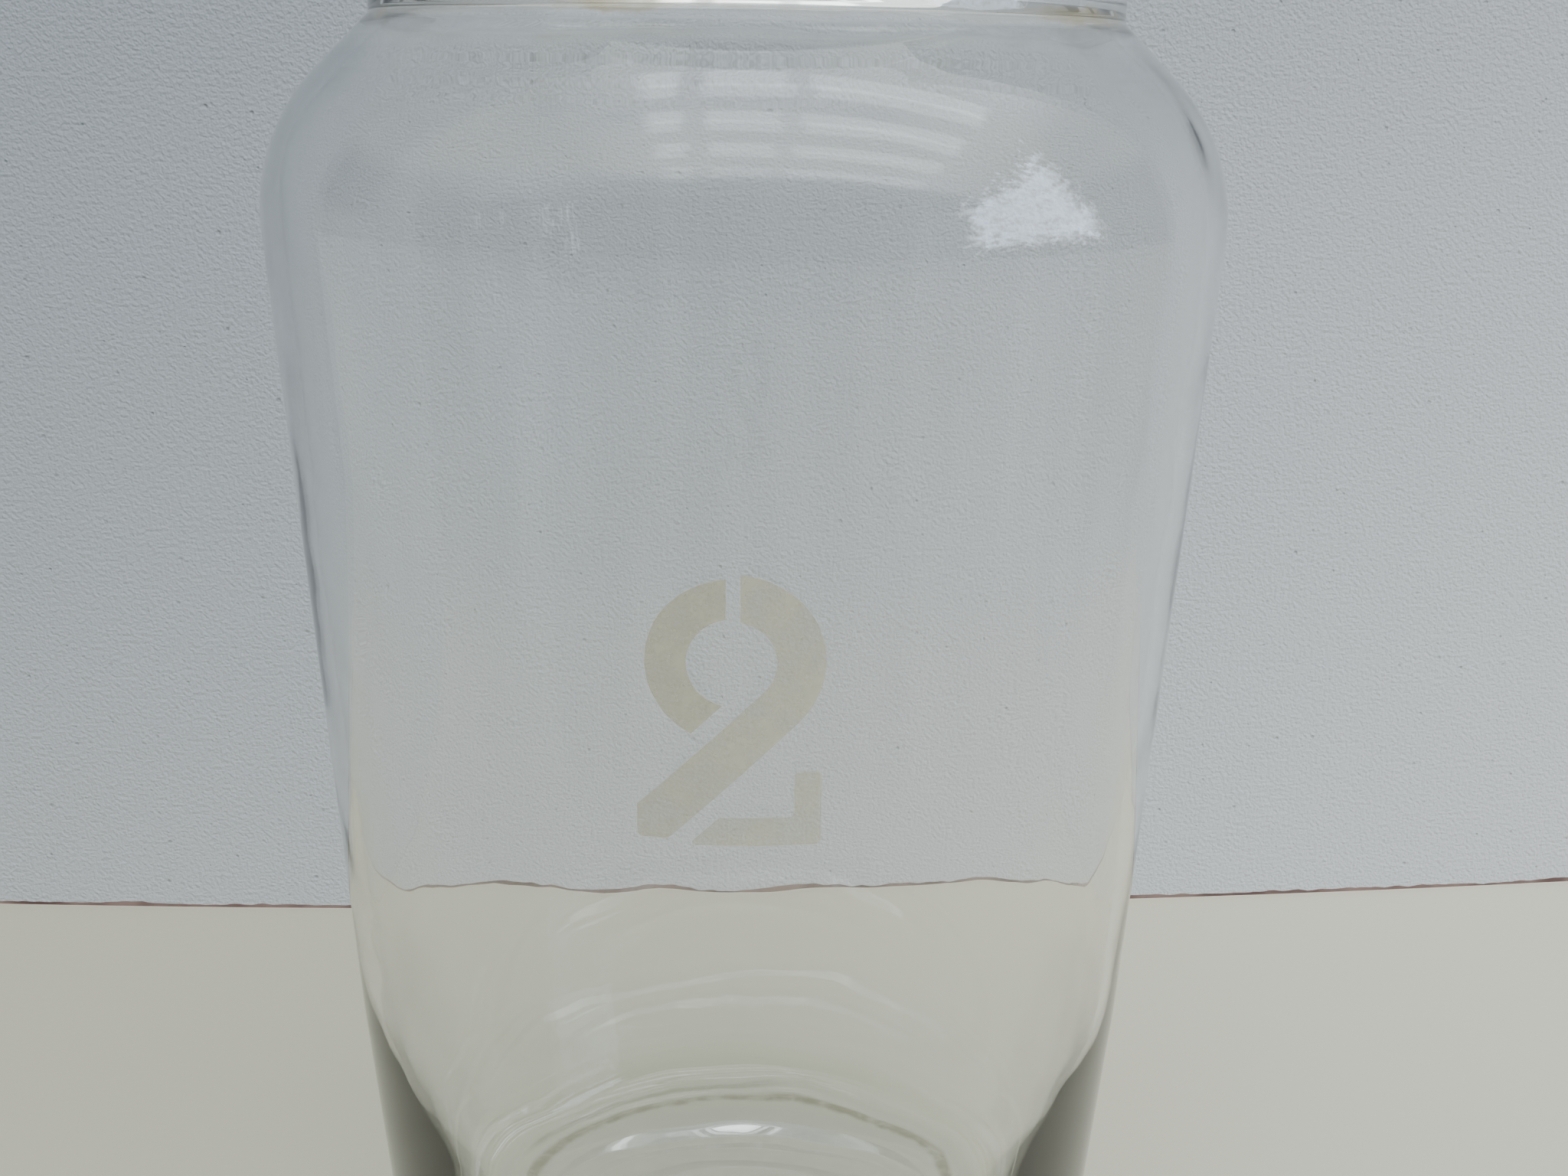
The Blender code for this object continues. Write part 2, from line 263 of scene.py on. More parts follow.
DARK_SIDE_START = (0.02, 0.16)
DARK_SIDE_DEPTH = 0.38


# ------------------------------------------------------------------ outlines


def arc(centre, radius, start, end):
    widest = 2 * math.acos(1 - CHORD_ERROR / radius)
    steps = max(2, math.ceil(abs(end - start) / widest))
    angles = [start + (end - start) * i / steps for i in range(steps + 1)]
    return [(centre[0] + radius * math.cos(a), centre[1] + radius * math.sin(a)) for a in angles]


def fillet(before, corner, after, radius):
    to_before = math.atan2(before[1] - corner[1], before[0] - corner[0])
    to_after = math.atan2(after[1] - corner[1], after[0] - corner[0])
    opening = (to_after - to_before + math.pi) % (2 * math.pi) - math.pi
    middle = to_before + opening / 2
    reach = radius / math.sin(abs(opening) / 2)
    centre = (corner[0] + reach * math.cos(middle), corner[1] + reach * math.sin(middle))
    turn = math.copysign(math.pi - abs(opening), -opening)
    start = to_before + math.copysign(math.pi / 2, -opening)
    return arc(centre, radius, start, start + turn)


def rounded(corners):
    points = []
    for i, (x, z, radius) in enumerate(corners):
        if radius:
            after = corners[(i + 1) % len(corners)]
            points += fillet(corners[i - 1][:2], (x, z), after[:2], radius)
        else:
            points.append((x, z))
    return points


def refined(points):
    """The same line with its long stretches divided."""
    fine = [points[0]]
    for (x0, z0), (x1, z1) in zip(points, points[1:]):
        parts = max(1, math.ceil(math.hypot(x1 - x0, z1 - z0) / LONGEST_STEP))
        for i in range(1, parts + 1):
            fine.append((x0 + (x1 - x0) * i / parts, z0 + (z1 - z0) * i / parts))
    return fine


def wall_radius(z):
    slope = (SHOULDER_RADIUS - WAIST_RADIUS) / (SHOULDER_Z - WAIST_Z)
    return WAIST_RADIUS + slope * (z - WAIST_Z)


def socket_radius(z):
    return SOCKET_TOP_RADIUS - SOCKET_TAPER * (RIM_Z - z)


def jar_outline():
    slant = math.atan2(SHOULDER_TOP_Z - SHOULDER_Z, SHOULDER_RADIUS - NECK_RADIUS)
    inner_shoulder = SHOULDER_RADIUS - WALL
    drop = WALL / math.cos(slant)
    inner_shoulder_z = SHOULDER_Z - drop + (SHOULDER_RADIUS - inner_shoulder) * math.tan(slant)
    return rounded([
        (0, FLOOR_Z + PLATEAU_HEIGHT, 0),
        (PLATEAU_RADIUS, FLOOR_Z + PLATEAU_HEIGHT, PLATEAU_ROUND),
        (PLATEAU_RADIUS + PLATEAU_SLOPE, FLOOR_Z, PLATEAU_ROUND),
        (FLOOR_CORNER_RADIUS, FLOOR_Z, FLOOR_ROUND),
        (WAIST_RADIUS - LOWER_WALL, WAIST_Z, WAIST_ROUND),
        (inner_shoulder, inner_shoulder_z, SHOULDER_ROUND - WALL),
        (socket_radius(SOCKET_FOOT_Z), SOCKET_FOOT_Z, SOCKET_FOOT_ROUND),
        (SOCKET_TOP_RADIUS, RIM_Z, MOUTH_ROUND),
        (LIP_RADIUS, RIM_Z, LIP_ROUND),
        (LIP_RADIUS, RIM_Z - LIP_HEIGHT, LIP_ROUND),
        (NECK_RADIUS, RIM_Z - LIP_HEIGHT - LIP_SLOPE, UNDER_LIP_ROUND),
        (NECK_RADIUS, SHOULDER_TOP_Z, NECK_FOOT_ROUND),
        (SHOULDER_RADIUS, SHOULDER_Z, SHOULDER_ROUND),
        (WAIST_RADIUS, WAIST_Z, WAIST_ROUND),
        (HEEL_RADIUS, 0, HEEL_ROUND),
        (FOOT_INNER_RADIUS, 0, FOOT_ROUND),
        (FOOT_INNER_RADIUS / 2, PUNT_HEIGHT * PUNT_SHARE, PUNT_ROUND),
        (0, PUNT_HEIGHT, 0),
    ])


def stopper_outline():
    plug_top = SOCKET_TOP_RADIUS - FIT_GAP
    plug_foot = plug_top - SOCKET_TAPER * PLUG_DEPTH
    flange_top = FLANGE_GAP + FLANGE_THICKNESS
    return rounded([
        (0, KNOB_TOP, 0),
        (KNOB_RADIUS, KNOB_TOP, KNOB_TOP_ROUND),
        (KNOB_RADIUS, KNOB_UNDERSIDE, KNOB_UNDER_ROUND),
        (STEM_RADIUS, KNOB_UNDERSIDE - KNOB_CUP, STEM_TOP_ROUND),
        (STEM_RADIUS, DOME_TOP, STEM_FOOT_ROUND),
        (DOME_RADIUS, DOME_TOP - DOME_DROP, DOME_ROUND),
        (DOME_RADIUS + FLANGE_SLOPE, flange_top, DOME_FOOT_ROUND),
        (FLANGE_RADIUS, flange_top, FLANGE_ROUND),
        (FLANGE_RADIUS, FLANGE_GAP, FLANGE_ROUND),
        (plug_top, FLANGE_GAP, PLUG_TOP_ROUND),
        (plug_foot, -PLUG_DEPTH, PLUG_FOOT_ROUND),
        (plug_foot - PLUG_WALL, -PLUG_DEPTH, PLUG_FOOT_ROUND),
        (plug_top - PLUG_WALL - HOLLOW_TAPER, HOLLOW_TOP - HOLLOW_RISE, HOLLOW_ROUND),
        (0, HOLLOW_TOP, 0),
    ])


# ------------------------------------------------------------------ meshes


def unevenness(rng, waves, shortest, longest, size):
    """A smooth random field over angle and height, about as strong as size at its peaks."""
    parts = []
    for _ in range(waves):
        length = math.exp(rng.uniform(math.log(shortest), math.log(longest)))
        slant = rng.uniform(0, math.pi)
        turns = round(MEAN_RADIUS * 2 * math.pi / length * math.cos(slant))
        rise = 2 * math.pi / length * math.sin(slant)
        parts.append((turns, rise, rng.uniform(0, 2 * math.pi), length / longest))
    total = sum(p[3] for p in parts) / 2

    def field(angle, height):
        value = 0.0
        for turns, rise, phase, weight in parts:
            value = value + weight * np.cos(turns * angle + rise * height + phase)
        return size * value / total

    return field


def turned(name, outline, shape, z=0.0):
    """A closed surface of revolution about Z, whose points shape() may move along their normals."""
    line = np.array(outline[1:-1])
    tangent = np.gradient(line, axis=0)
    normal = np.stack([tangent[:, 1], -tangent[:, 0]], axis=1)
    normal /= np.linalg.norm(normal, axis=1)[:, None]
    angle = np.arange(TURN_STEPS) * 2 * math.pi / TURN_STEPS
    radius = np.repeat(line[:, :1], TURN_STEPS, axis=1)
    height = np.repeat(line[:, 1:], TURN_STEPS, axis=1)
    out, up = shape(radius, height, angle[None, :], normal)
    radius, height = radius + out, height + up
    rings = np.stack([radius * np.cos(angle), radius * np.sin(angle), height + z], axis=2)
    start = (0.0, 0.0, outline[0][1] + float(up[0].mean()) + z)
    end = (0.0, 0.0, outline[-1][1] + float(up[-1].mean()) + z)
    points = np.concatenate([[start], rings.reshape(-1, 3), [end]])
    faces = []
    last = len(points) - 1
    last_ring = last - TURN_STEPS
    for k in range(TURN_STEPS):
        after = (k + 1) % TURN_STEPS
        faces.append((0, 1 + after, 1 + k))
        faces.append((last, last_ring + k, last_ring + after))
    for ring in range(len(line) - 1):
        low, high = 1 + ring * TURN_STEPS, 1 + (ring + 1) * TURN_STEPS
        for k in range(TURN_STEPS):
            after = (k + 1) % TURN_STEPS
            faces.append((low + k, low + after, high + after, high + k))
    mesh = bpy.data.meshes.new(name)
    mesh.from_pydata(points.tolist(), [], faces)
    mesh.validate()
    mesh.shade_smooth()
    obj = bpy.data.objects.new(name, mesh)
    bpy.context.scene.collection.objects.link(obj)
    turn_outwards(obj)
    return obj


def turn_outwards(obj):
    faces = bmesh.new()
    faces.from_mesh(obj.data)
    bmesh.ops.recalc_face_normals(faces, faces=faces.faces)
    faces.to_mesh(obj.data)
    faces.free()


def smooth(low, high, value):
    t = np.clip((value - low) / (high - low), 0, 1)
    return t * t * (3 - 2 * t)


def jar_shape(radius, height, angle, normal):
    """Hand-worked unevenness: mostly inside, hardly outside, and none at the seat and the foot."""
    lip = int(np.argmax(height[:, 0]))
    inside = (np.arange(len(radius)) < lip)[:, None]
    body = smooth(*ABOVE_HEEL, height) * (1 - smooth(*BELOW_NECK, height))
    outer = OUTER_WAVES(angle, height) - OUTER_UNEVEN
    move = np.where(inside, INNER_WAVES(angle, height), outer) * body
    out = normal[:, :1] * move
    up = normal[:, 1:] * move
    floor = inside * (1 - smooth(*ABOVE_FLOOR, height)) * smooth(*OFF_AXIS, radius)
    ring_radius = PLATEAU_RADIUS + PLATEAU_SLOPE / 2
    near_ring = np.exp(-(((radius - ring_radius) / RING_REACH) ** 2))
    out = out + FLOOR_WAVES(angle, 0.0) * floor * near_ring
    swell = FLOOR_SWELL * FLOOR_WAVES(angle + 1.0, radius * 2)
    up = up + swell * floor * smooth(*SWELL_START, radius)
    return out, up


def still(radius, height, angle, normal):
    return 0 * radius, 0 * height


rng = np.random.default_rng(2)
INNER_WAVES = unevenness(rng, 60, 0.0060, 0.045, INNER_UNEVEN)
OUTER_WAVES = unevenness(rng, 30, 0.014, 0.080, OUTER_UNEVEN)
FLOOR_WAVES = unevenness(rng, 16, 0.020, 0.120, RING_WANDER)

jar = turned("jar_glass", refined(jar_outline()), jar_shape)
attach(jar, "jar")
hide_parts("jar")

stopper = turned("stopper_glass", refined(stopper_outline()), still, RIM_Z)
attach(stopper, "stopper")
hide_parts("stopper")


# ------------------------------------------------------------------ node helpers


def grey(level):
    return (level, level, level, 1)


class Tree:
    """Short calls that add nodes to one node tree."""

    def __init__(self, owner):
        owner.use_nodes = True
        self.tree = owner.node_tree
        self.tree.nodes.clear()

    def add(self, kind, **settings):
        node = self.tree.nodes.new("ShaderNode" + kind)
        for key, value in settings.items():
            setattr(node, key, value)
        return node

    def put(self, node, socket, value):
        if isinstance(value, bpy.types.NodeSocket):
            self.tree.links.new(value, node.inputs[socket])
        else:
            node.inputs[socket].default_value = value
        return node

    def maths(self, operation, *values):
        node = self.add("Math", operation=operation)
        for i, value in enumerate(values):
            self.put(node, i, value)
        return node.outputs[0]

    def ramp(self, value, low, high, to_low=0.0, to_high=1.0):
        node = self.add("MapRange", interpolation_type="SMOOTHSTEP")
        for i, v in enumerate((value, low, high, to_low, to_high)):
            self.put(node, i, v)
        return node.outputs[0]

    def band(self, value, low, high, soft):
        """1 between low and high, falling to 0 over soft on each side."""
        rise = self.ramp(value, low - soft, low)
        fall = self.ramp(value, high, high + soft, 1.0, 0.0)
        return self.maths("MULTIPLY", rise, fall)

    def steps(self, value, stops):
        """A soft outline along value: stops are pairs of a place and the height there."""
        low, high = stops[0][0], stops[-1][0]
        curve = self.add("ValToRGB")
        elements = curve.color_ramp.elements
        elements[0].color = grey(stops[0][1])
        elements[-1].color = grey(stops[-1][1])
        for place, height in stops[1:-1]:
            elements.new((place - low) / (high - low)).color = grey(height)
        share = self.add("MapRange")
        for i, v in enumerate((value, low, high)):
            self.put(share, i, v)
        self.put(curve, 0, share.outputs[0])
        return curve.outputs[0]

    def mix(self, share, a, b):
        node = self.add("Mix", data_type="RGBA")
        for key, value in ((0, share), (6, a), (7, b)):
            self.put(node, key, value)
        return node.outputs[2]

    def noise(self, vector, scale, detail=2.0, roughness=0.5):
        node = self.add("TexNoise")
        for key, value in (("Vector", vector), ("Scale", scale), ("Detail", detail)):
            self.put(node, key, value)
        self.put(node, "Roughness", roughness)
        return node.outputs["Fac"]

    def scaled(self, vector, scale):
        node = self.add("Mapping")
        self.put(node, "Vector", vector)
        self.put(node, "Scale", scale)
        return node.outputs[0]

    def place(self):
        """Object coordinates, and from them x, y, z and the distance from the axis."""
        vector = self.add("TexCoord").outputs["Object"]
        parts = self.put(self.add("SeparateXYZ"), 0, vector)
        x, y, z = parts.outputs
        square = self.maths("ADD", self.maths("MULTIPLY", x, x), self.maths("MULTIPLY", y, y))
        return vector, x, y, z, self.maths("SQRT", square)

    def bump(self, shader, height, distance, strength):
        """Gives the shader a fine relief."""
        node = self.add("Bump")
        node.inputs["Distance"].default_value = distance
        node.inputs["Strength"].default_value = strength
        self.put(node, "Height", height)
        self.put(shader, "Normal", node.outputs[0])

    def switched(self, share, first, second):
        """The first shader, giving way to the second as share goes from 0 to 1."""
        node = self.add("MixShader")
        for i, value in enumerate((share, first, second)):
            self.put(node, i, value)
        return node.outputs[0]


def new_material(name):
    material = bpy.data.materials.new(name)
    tree = Tree(material)
    return material, tree, tree.add("OutputMaterial")


def glass_shader(tree):
    shader = tree.add("BsdfPrincipled")
    shader.inputs["IOR"].default_value = GLASS_IOR
    shader.inputs["Base Color"].default_value = GLASS_COLOUR
    shader.inputs["Transmission Weight"].default_value = 1.0
    shader.inputs["Roughness"].default_value = 0.0
    return shader


def let_lamps_through(tree, shader, out):
    """Glass that lights shine through without a hard dark shadow."""
    clear = tree.add("BsdfTransparent")
    clear.inputs["Color"].default_value = LAMP_SHADE
    to_lamp = tree.add("LightPath").outputs["Is Shadow Ray"]
    tree.put(out, "Surface", tree.switched(to_lamp, shader.outputs[0], clear.outputs[0]))


def clear_glass(name):
    """Clear glass with a faint darker band of streaks up its wall, darker in the thick heel: a tint for
    thick glass, and painted shade for the heel's dark wedges.
    """
    material, tree, out = new_material(name)
    vector, _, _, z, reach = tree.place()
    shader = glass_shader(tree)
    # A faint darker band of vertical streaks up the wall.
    streaks = tree.ramp(tree.noise(tree.scaled(vector, STREAK_SCALE), 1.0, 0.0), 0.40, 0.66)
    streaks = tree.maths("MULTIPLY", streaks, tree.band(z, *STREAK_BAND_HEIGHTS))
    film = tree.mix(streaks, STREAK_BAND_COLOUR, GLASS_COLOUR)
    # Darker heel: a tint for thick glass, and painted shade for its dark wedges.
    heel_tint_and_shade = tree.maths("MULTIPLY", tree.ramp(z, *HEEL_HEIGHTS, 1.0, 0.0), tree.ramp(reach, *HEEL_START))
    tree.put(shader, "Base Color", tree.mix(heel_tint_and_shade, film, HEEL_TINT_AND_SHADE_COLOUR))
    let_lamps_through(tree, shader, out)
    return material


def stained_glass(name):
    """The groove at the foot of the neck, where old brown dirt has dried."""
    material, tree, out = new_material(name)
    vector, _, y, z, _ = tree.place()
    shader = glass_shader(tree)
    edge = tree.maths("MULTIPLY_ADD", tree.noise(vector, 170.0, 3.0, 0.65), DIRT_WANDER, DIRT_Z)
    ring = tree.band(tree.maths("SUBTRACT", z, edge), 0.0, DIRT_WIDTH, DIRT_SOFT)
    ring = tree.maths("MULTIPLY", ring, tree.ramp(y, *DIRT_TO_BACK, 1.0, 0.3))
    blots = tree.ramp(tree.noise(vector, 90.0, 2.0, 0.6), 0.40, 0.68, 0.35, 1.0)
    dirt_and_shade = tree.maths("MULTIPLY", ring, blots)
    tree.put(shader, "Base Color", tree.mix(dirt_and_shade, GLASS_COLOUR, DIRT_COLOUR))
    tree.put(shader, "Transmission Weight", tree.maths("MULTIPLY_ADD", dirt_and_shade, -0.22, 0.985))
    let_lamps_through(tree, shader, out)
    return material


def ring_line(tree, reach, edges):
    """A soft line round the floor, beside the plateau's edge."""
    inner, outer, soft = edges
    return tree.band(reach, PLATEAU_RADIUS + inner, PLATEAU_RADIUS + outer, soft)


def floor_shade_line_glass(name):
    """The inside of the floor, with a line of painted shade round its raised middle and part of another.
    """
    material, tree, out = new_material(name)
    vector, x, y, _, reach = tree.place()
    shader = glass_shader(tree)
    broad = tree.noise(vector, 45.0, 1.0)
    fine = tree.noise(vector, 320.0, 2.0, 0.6)
    wander = tree.maths("MULTIPLY_ADD", broad, 0.0030, -0.0015)
    wander = tree.maths("MULTIPLY_ADD", fine, 0.0008, wander)
    reach = tree.maths("ADD", reach, wander)
    line = ring_line(tree, reach, FLOOR_LINE)
    line = tree.maths("MULTIPLY", line, tree.ramp(fine, 0.25, 0.62, 0.55, 1.0))
    back = tree.maths("MULTIPLY_ADD", x, SECOND_LINE_SLANT, y)
    second = ring_line(tree, reach, SECOND_LINE)
    second = tree.maths("MULTIPLY", second, tree.ramp(back, *SECOND_LINE_START, 0.0, 0.55))
    # Painted shade along the plateau's edge, in the two lines.
    dirt_and_shade = tree.maths("MAXIMUM", line, second)
    tree.put(shader, "Base Color", tree.mix(dirt_and_shade, GLASS_COLOUR, FLOOR_SHADE_LINE_COLOUR))
    let_lamps_through(tree, shader, out)
    return material


def ground_glass(name):
    """The matt ground seat of the socket and the plug."""
    material, tree, out = new_material(name)
    shader = glass_shader(tree)
    grain = tree.noise(tree.place()[0], 3600.0, 2.0)
    tree.put(shader, "Transmission Weight", tree.ramp(grain, 0.3, 0.7, 0.90, 0.80))
    tree.put(shader, "Roughness", tree.ramp(grain, 0.3, 0.7, 0.28, 0.44))
    tree.bump(shader, grain, 0.00004, 0.5)
    let_lamps_through(tree, shader, out)
    return material


def jar_skin(radius, z):
    """The skin of a jar's face: by the floor's line, at the seat, at the neck's foot or elsewhere."""
    by_line = PLATEAU_RADIUS - 0.0035 < radius < PLATEAU_RADIUS + 0.0070
    if by_line and FLOOR_Z - 0.001 < z < FLOOR_Z + 0.003:
        return "floor_glass"
    if radius < SOCKET_TOP_RADIUS + 0.0004 and RIM_Z - PLUG_DEPTH < z < RIM_Z - MOUTH_ROUND:
        return "ground_glass"
    if radius > NECK_RADIUS - 0.0020 and SHOULDER_TOP_Z - 0.0042 < z < SHOULDER_TOP_Z + 0.0036:
        return "stained_glass"
    return "jar_glass"


def stopper_skin(radius, z):
    """The skin of a stopper's face: on the side of the plug or elsewhere."""
    on_plug = radius > SOCKET_TOP_RADIUS - SOCKET_TAPER * PLUG_DEPTH - 0.0008
    if on_plug and RIM_Z - PLUG_DEPTH + 0.001 < z < RIM_Z:
        return "ground_glass"
    return "stopper_glass"


def share_out(obj, names, choose):
    """Gives each face the skin that choose() names for its centre."""
    for name in names:
        obj.data.materials.append(skins[name])
    for face in obj.data.polygons:
        x, y, z = face.center
        face.material_index = names.index(choose(math.hypot(x, y), z))


glasses = {
    "jar_glass": clear_glass,
    "stopper_glass": clear_glass,
    "stained_glass": stained_glass,
    "ground_glass": ground_glass,
    "floor_glass": floor_shade_line_glass,
}
skins = {name: make(name) for name, make in glasses.items()}
share_out(jar, ["jar_glass", "stained_glass", "ground_glass", "floor_glass"], jar_skin)
share_out(stopper, ["stopper_glass", "ground_glass"], stopper_skin)


# ------------------------------------------------------------------ numeral


def loop_arc(radius, start, end):
    return [(u, v, 0) for u, v in arc((LOOP_U, LOOP_V), radius, start, end)]


def diagonal_u(radius, v):
    return LOOP_U + v - LOOP_V + radius * math.sqrt(2)


def hook_outline():
    cut = BOWL_INNER - DIAGONAL_GAP
    top = [math.acos(-BRIDGE / 2 / r) for r in (HOOK_OUTER, HOOK_INNER)]
    foot = [DIAGONAL_END - math.acos(cut / r) for r in (HOOK_OUTER, HOOK_INNER)]
    return loop_arc(HOOK_OUTER, top[0], foot[0]) + loop_arc(HOOK_INNER, foot[1], top[1])


def stroke_outline():
    top = [math.acos(BRIDGE / 2 / r) for r in (BOWL_OUTER, BOWL_INNER)]
    turn = DIAGONAL_END - 2 * math.pi
    inner_line_v = DIGIT_LEFT - diagonal_u(BOWL_INNER, 0)
    tip = [
        (diagonal_u(BOWL_OUTER, STROKE_END_V), STROKE_END_V, DIGIT_ROUND),
        (DIGIT_LEFT, STROKE_END_V, DIGIT_ROUND),
        (DIGIT_LEFT, inner_line_v, DIGIT_ROUND),
    ]
    return loop_arc(BOWL_OUTER, top[0], turn) + tip + loop_arc(BOWL_INNER, turn, top[1])


def foot_outline():
    edge = BOWL_OUTER + DIAGONAL_GAP
    return [
        (diagonal_u(edge, 0), 0, DIGIT_ROUND / 2),
        (DIGIT_RIGHT, 0, DIGIT_ROUND),
        (DIGIT_RIGHT, SERIF_V, DIGIT_ROUND),
        (SERIF_U, SERIF_V, DIGIT_ROUND),
        (SERIF_U, FOOT_BAR_V, DIGIT_ROUND),
        (diagonal_u(edge, FOOT_BAR_V), FOOT_BAR_V, DIGIT_ROUND),
    ]


def even_line(points, step):
    """The closed line through points, divided evenly enough for a thin sheet."""
    fine = []
    for (u0, v0), (u1, v1) in zip(points, points[1:] + points[:1]):
        parts = max(1, math.ceil(math.hypot(u1 - u0, v1 - v0) / step))
        fine += [(u0 + (u1 - u0) * i / parts, v0 + (v1 - v0) * i / parts) for i in range(parts)]
    return fine


def inside_line(point, line):
    u, v = point
    odd = False
    for (u0, v0), (u1, v1) in zip(line, line[1:] + line[:1]):
        if (v0 > v) != (v1 > v) and u < u0 + (v - v0) / (v1 - v0) * (u1 - u0):
            odd = not odd
    return odd


def enamel_sheet(name, corners):
    """A flat outline, filled with small faces and laid on the wall as a film of enamel."""
    line = []
    for point in rounded(corners):
        if not line or math.dist(point, line[-1]) > SAME_POINT:
            line.append(point)
    if math.dist(line[0], line[-1]) < SAME_POINT:
        line.pop()
    line = even_line(line, ENAMEL_GRID)
    wander = [0.00007 * noise.noise(Vector((u * 700, v * 700, 3.0))) for u, v in line]
    line = [(u + w, v + w * 0.6) for (u, v), w in zip(line, wander)]
    low_u, high_u = min(u for u, v in line), max(u for u, v in line)
    high_v = max(v for u, v in line)
    inner = []
    for i in range(math.ceil((high_u - low_u) / ENAMEL_GRID)):
        for j in range(math.ceil(high_v / ENAMEL_GRID)):
            shift = 0.5 * (j % 2)
            spot = (low_u + (i + shift) * ENAMEL_GRID, (j + 0.5) * ENAMEL_GRID)
            clear = min(math.dist(spot, p) for p in line) > ENAMEL_GRID * 0.45
            if clear and inside_line(spot, line):
                inner.append(spot)
    count = len(line)
    edges = [(i, (i + 1) % count) for i in range(count)]
    flat = [Vector(p) for p in line + inner]
    points, _, faces = geometry.delaunay_2d_cdt(flat, edges, [list(range(count))], 1, 1e-7)[:3]
    corners = []
    for lift in (ENAMEL_LIFT, ENAMEL_LIFT + ENAMEL_THICKNESS):
        for u, v in points:
            height = DIGIT_Z + v
            radius = wall_radius(height) + lift
            corners.append((u, -math.sqrt(radius * radius - u * u), height))
    half = len(points)
    sides = {}
    for face in faces:
        for a, b in zip(face, list(face[1:]) + [face[0]]):
            if (b, a) in sides:
                del sides[(b, a)]
            else:
                sides[(a, b)] = True
    solid = [tuple(reversed(face)) for face in faces]
    solid += [tuple(i + half for i in face) for face in faces]
    solid += [(b, a, a + half, b + half) for a, b in sides]
    mesh = bpy.data.meshes.new(name)
    mesh.from_pydata(corners, [], solid)
    mesh.validate()
    obj = bpy.data.objects.new(name, mesh)
    bpy.context.scene.collection.objects.link(obj)
    turn_outwards(obj)
    return obj


def enamel(name, cover):
    """Worn translucent enamel, thinner in places."""
    material, tree, out = new_material(name)
    vector = tree.place()[0]
    shader = tree.add("BsdfPrincipled")
    patches = tree.noise(vector, 260.0, 4.0, 0.6)
    grain = tree.noise(vector, 2600.0, 2.0, 0.6)
    tone = tree.ramp(patches, 0.35, 0.68)
    tree.put(shader, "Base Color", tree.mix(tone, ENAMEL_COLOUR, ENAMEL_COLOUR_2))
    worn = tree.ramp(patches, 0.30, 0.70, cover - COVER_SPREAD, cover + COVER_SPREAD)
    pores = tree.ramp(grain, 0.66, 0.78, 0.0, 0.22)
    tree.put(shader, "Alpha", tree.maths("SUBTRACT", worn, pores))
    tree.put(shader, "Roughness", tree.ramp(grain, 0.3, 0.7, 0.50, 0.72))
    tree.bump(shader, grain, 0.00003, 0.4)
    tree.put(out, "Surface", shader.outputs[0])
    return material


islands = {
    "numeral_hook": (hook_outline(), HOOK_COVER),
    "numeral_stroke": (stroke_outline(), STROKE_COVER),
    "numeral_foot": (foot_outline(), FOOT_COVER),
}
for node, (corners, cover) in islands.items():
    film = enamel_sheet(node + "_enamel", corners)
    film.data.materials.append(enamel(node + "_enamel", cover))
    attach(film, "jar")
    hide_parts(node)


# ------------------------------------------------------------------ floor and backdrop


def wall_y(x):
    return WALL_BEND[0] + WALL_BEND[1] * x + WALL_BEND[2] * x * x


def stage_mesh(name, points, faces):
    mesh = bpy.data.meshes.new(name)
    mesh.from_pydata(points, [], faces)
    obj = bpy.data.objects.new(name, mesh)
    bpy.context.scene.collection.objects.link(obj)
    return obj


def upright_strip(name, xs, heights, forward):
    """A strip that stands on the floor along the backdrop's line, facing the jar."""
    feet = [(x, wall_y(x) - forward, 0.0) for x in xs]
    tops = [(x, y, height) for (x, y, _), height in zip(feet, heights)]
    n = len(xs)
    faces = [(i, i + 1, i + 1 + n, i + n) for i in range(n - 1)]
    return stage_mesh(name, feet + tops, faces)


def one_sided(tree, shader, out):
    """Shows a backdrop from its front only, so that it doesn't hide the jar from behind."""
    behind = tree.add("NewGeometry").outputs["Backfacing"]
    nothing = tree.add("BsdfTransparent")
    tree.put(out, "Surface", tree.switched(behind, shader.outputs[0], nothing.outputs[0]))


def matt_shader(tree):
    shader = tree.add("BsdfPrincipled")
    shader.inputs["Roughness"].default_value = 0.8
    return shader


